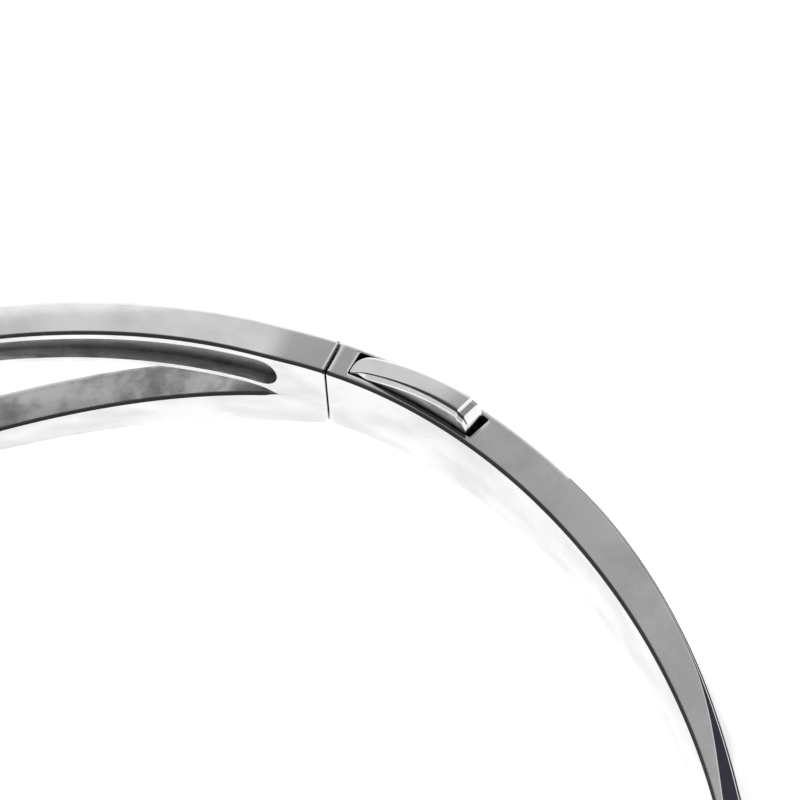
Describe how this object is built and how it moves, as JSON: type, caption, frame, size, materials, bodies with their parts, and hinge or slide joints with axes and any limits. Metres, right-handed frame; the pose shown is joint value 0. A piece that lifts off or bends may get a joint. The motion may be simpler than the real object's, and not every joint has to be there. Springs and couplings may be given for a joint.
{
  "type": "bangle bracelet",
  "caption": "Hinged oval bangle with a split two-strand front, an outer strand on the back, a box clasp and a rocking thumb lever.",
  "frame": {"origin": "middle of the outline in plan, at the lowest side edge of the front strands", "axes": "+Z along the axis of the wrist opening, towards the side that the lever is on; +X from the clasp to the hinge; the split front half faces -Y"},
  "size_m": [0.0618, 0.0539, 0.0098],
  "materials": {
    "polished_silver": "mirror polished white metal with fine wear scratches",
    "brushed_silver": "filed and lightly brushed white metal on inner and fitted pieces",
    "spring_silver": "rolled spring strip"
  },
  "bodies": {
    "back_half": {"clasp_box": "polished_silver", "back_band": "polished_silver", "back_outer_strand": "polished_silver", "back_hinge_block": "polished_silver", "back_knuckle": "polished_silver", "hinge_pin": "brushed_silver", "lever_pivot_pin": "brushed_silver", "lever_spring": "spring_silver"},
    "front_half": {"front_clasp_block": "polished_silver", "front_upper_strand": "polished_silver", "front_lower_strand": "polished_silver", "front_hinge_block": "polished_silver", "front_lower_knuckle": "polished_silver", "front_upper_knuckle": "polished_silver", "tongue_plate": "brushed_silver", "tongue_spring_leaf": "spring_silver"},
    "push_lever": {"push_lever": "polished_silver", "lever_foot": "brushed_silver"}
  },
  "joints": [
    {"name": "bangle_hinge", "type": "hinge", "parent": "back_half", "child": "front_half", "pos_m": [0.03005, -0.00005, 0.00445], "axis": [0, 0, 1], "range_deg": [0, 60], "deforming": ["tongue_spring_leaf"]},
    {"name": "lever_press", "type": "hinge", "parent": "back_half", "child": "push_lever", "pos_m": [-0.0296, 0.00255, 0.00558], "axis": [-0.9887, 0.1496, 0], "range_deg": [0, 8], "stiffness_Nm_per_rad": 0.004, "deforming": ["lever_spring", "tongue_spring_leaf"]}
  ]
}
